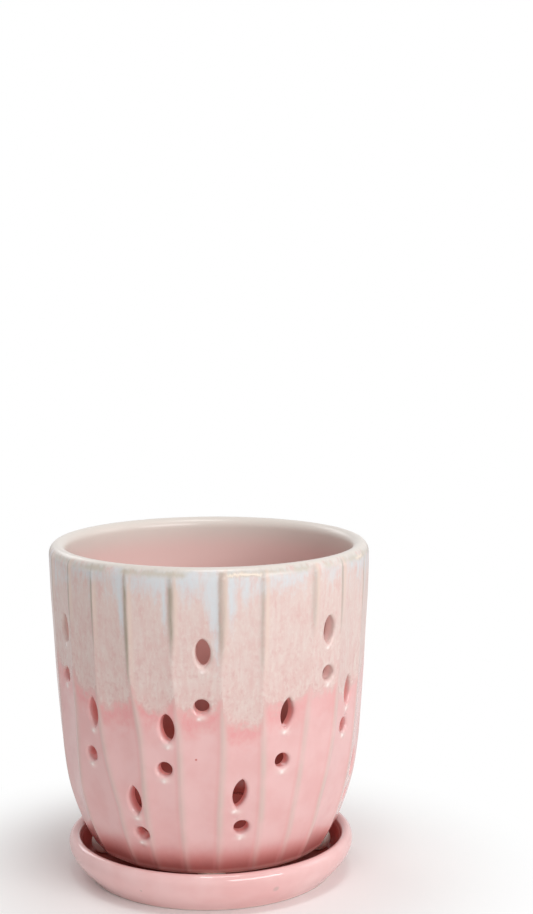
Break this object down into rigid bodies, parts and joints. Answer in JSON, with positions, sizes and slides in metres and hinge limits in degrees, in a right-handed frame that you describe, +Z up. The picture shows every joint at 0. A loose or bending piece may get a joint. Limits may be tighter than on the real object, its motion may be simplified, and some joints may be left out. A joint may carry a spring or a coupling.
{
  "type": "orchid pot with saucer",
  "caption": "Round faceted stoneware orchid pot with almond air slots and round air holes, resting on clear bumpers in a shallow saucer.",
  "frame": {"origin": "on the pot's axis, in the plane that the saucer's foot stands on", "axes": "+Z up through the pot's mouth, -Y towards the front, +X to the right seen from the front"},
  "size_m": [0.1599, 0.1598, 0.1688],
  "materials": {
    "pot_glaze": "satin pink and cream glaze",
    "saucer_glaze": "glossy pink glaze",
    "clear_bumper": "clear soft silicone"
  },
  "bodies": {
    "saucer": {"saucer": "saucer_glaze", "bumper_front": "clear_bumper", "bumper_right": "clear_bumper", "bumper_back": "clear_bumper", "bumper_left": "clear_bumper"},
    "pot": {"pot": "pot_glaze"}
  },
  "joints": [
    {"name": "pot_lift", "type": "slide", "parent": "saucer", "child": "pot", "axis": [0, 0, 1], "range_m": [0, 0.06]}
  ]
}
